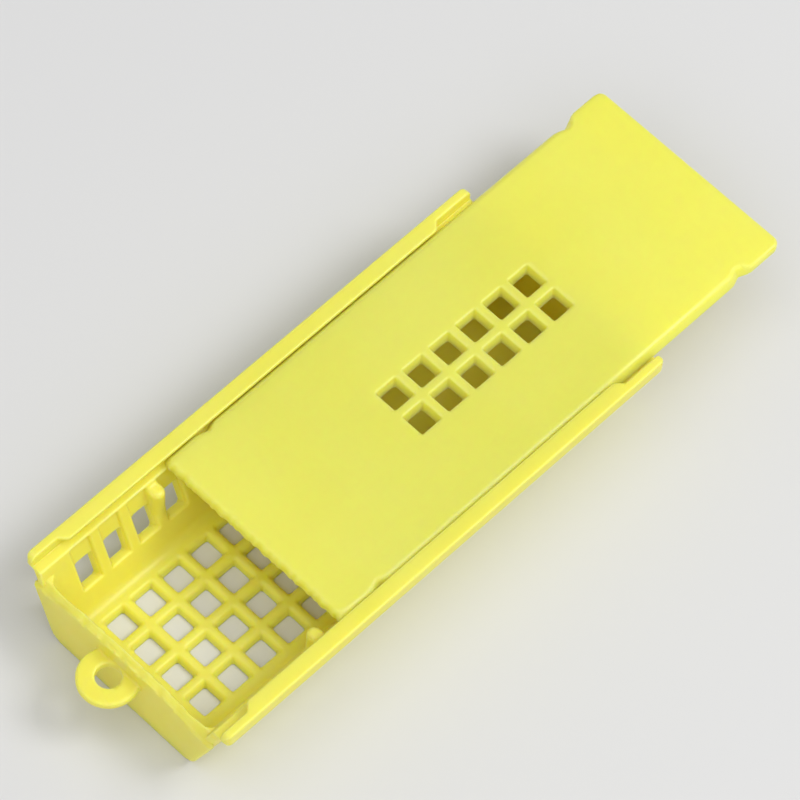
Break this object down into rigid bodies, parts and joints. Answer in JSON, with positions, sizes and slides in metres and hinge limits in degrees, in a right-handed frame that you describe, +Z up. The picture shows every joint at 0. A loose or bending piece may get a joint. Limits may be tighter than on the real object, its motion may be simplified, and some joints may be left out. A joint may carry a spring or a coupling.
{
  "type": "queen cage",
  "caption": "Beekeeper's queen cage: a shallow moulded tray with a grille floor, side windows and a hanging ear, closed by a flat vented lid that slides along two lipped rails.",
  "frame": {"origin": "centre of the tray's flat base, on its underside", "axes": "+X the way the lid is drawn out, along the tray's length; +Z up, out of the tray's open top; the hanging ear is at the -X end"},
  "size_m": [0.1096, 0.0366, 0.0141],
  "materials": {
    "body_plastic": "satin translucent yellow",
    "lid_plastic": "satin translucent yellow"
  },
  "bodies": {
    "cage_body": {"cage_body": "body_plastic"},
    "sliding_lid": {"sliding_lid": "lid_plastic"}
  },
  "joints": [
    {"name": "lid_slide", "type": "slide", "parent": "cage_body", "child": "sliding_lid", "axis": [1, 0, 0], "range_m": [-0.0224, 0.062]}
  ]
}
